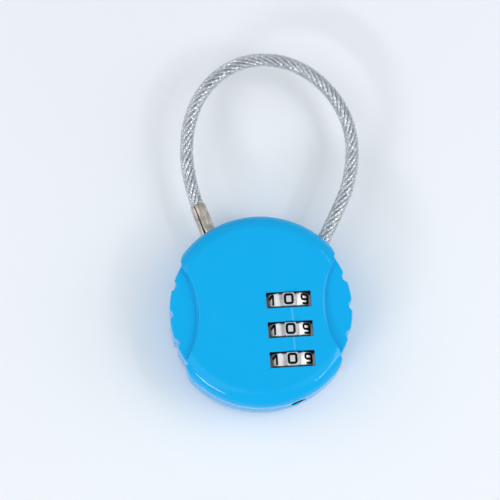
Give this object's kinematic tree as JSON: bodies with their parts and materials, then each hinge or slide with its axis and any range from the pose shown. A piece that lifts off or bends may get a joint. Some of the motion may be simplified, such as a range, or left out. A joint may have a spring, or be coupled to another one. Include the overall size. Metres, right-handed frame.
{
  "type": "combination padlock",
  "caption": "Round travel padlock with numbered dials behind windows, finger grips, and a loop of sheathed steel cable whose plug pulls out at the code.",
  "frame": {"origin": "middle of the back cover's flat outer face", "axes": "+Z out of the dial side, +Y towards the cable loop, +X to the right as the dials are read"},
  "size_m": [0.0469, 0.0858, 0.0143],
  "materials": {
    "cover_plastic": "polished moulded plastic",
    "dial_plating": "bright plated plastic with printed figures",
    "steel": "turned and stamped steel",
    "spring_brass": "rolled leaf",
    "sleeve_plastic": "moulded natural acetal",
    "ferrule_nickel": "rolled sheet with a warm nickel plating",
    "rope_zinc": "galvanised strands",
    "sheath_clear": "clear extruded sheath"
  },
  "bodies": {
    "housing": {"front_cover": "cover_plastic", "back_cover": "cover_plastic", "lever_pin": "steel", "detent_spring": "spring_brass", "lock_spring": "steel", "anchor_sleeve": "steel", "wire_rope": "rope_zinc", "rope_sheath": "sheath_clear"},
    "dial_top": {"dial_wheel_top": "dial_plating"},
    "dial_middle": {"dial_wheel_middle": "dial_plating"},
    "dial_bottom": {"dial_wheel_bottom": "dial_plating"},
    "sleeve_top": {"code_sleeve_top": "sleeve_plastic", "spring_washer": "steel"},
    "sleeve_middle": {"code_sleeve_middle": "sleeve_plastic"},
    "sleeve_bottom": {"code_sleeve_bottom": "sleeve_plastic"},
    "bolt": {"spindle": "steel"},
    "latch": {"latch_lever": "steel"},
    "reset": {"reset_plunger": "steel"},
    "plug": {"plug_ferrule": "ferrule_nickel", "plug_pin": "steel"}
  },
  "joints": [
    {"name": "dial_top_turn", "type": "hinge", "parent": "housing", "child": "dial_top", "pos_m": [0.0064, 0.0019, 0.0079], "axis": [0, 1, 0], "continuous": true, "deforming": ["detent_spring"]},
    {"name": "dial_middle_turn", "type": "hinge", "parent": "housing", "child": "dial_middle", "pos_m": [0.0064, -0.00505, 0.0079], "axis": [0, 1, 0], "continuous": true, "deforming": ["detent_spring"]},
    {"name": "dial_bottom_turn", "type": "hinge", "parent": "housing", "child": "dial_bottom", "pos_m": [0.0064, -0.012, 0.0079], "axis": [0, 1, 0], "continuous": true, "deforming": ["detent_spring"]},
    {"name": "reset_push", "type": "slide", "parent": "housing", "child": "reset", "axis": [0, 1, 0], "range_m": [0, 0.0014], "stiffness_N_per_m": 300, "springref_m": -0.001, "deforming": ["lock_spring"]},
    {"name": "sleeve_top_slide", "type": "slide", "parent": "dial_top", "child": "sleeve_top", "axis": [0, 1, 0], "range_m": [0, 0.0014]},
    {"name": "sleeve_middle_slide", "type": "slide", "parent": "dial_middle", "child": "sleeve_middle", "axis": [0, 1, 0], "range_m": [0, 0.0014]},
    {"name": "sleeve_bottom_slide", "type": "slide", "parent": "dial_bottom", "child": "sleeve_bottom", "axis": [0, 1, 0], "range_m": [0, 0.0014]},
    {"name": "bolt_slide", "type": "slide", "parent": "housing", "child": "bolt", "axis": [0, -1, 0], "range_m": [-0.0022, 0], "stiffness_N_per_m": 300, "springref_m": -0.004, "deforming": ["lock_spring"]},
    {"name": "latch_swing", "type": "hinge", "parent": "housing", "child": "latch", "pos_m": [-0.0043, 0.01245, 0.0073], "axis": [0, 0, 1], "range_deg": [0, 14.25]},
    {"name": "plug_pull", "type": "slide", "parent": "housing", "child": "plug", "axis": [-0.3123, 0.95, 0], "range_m": [0, 0.016], "deforming": ["wire_rope", "rope_sheath"]}
  ],
  "couplings": [
    {"joint": "latch_swing", "follows": "bolt_slide", "rad_per_m": -112.99},
    {"joint": "sleeve_top_slide", "follows": "reset_push", "ratio": 1},
    {"joint": "sleeve_middle_slide", "follows": "reset_push", "ratio": 1},
    {"joint": "sleeve_bottom_slide", "follows": "reset_push", "ratio": 1}
  ]
}
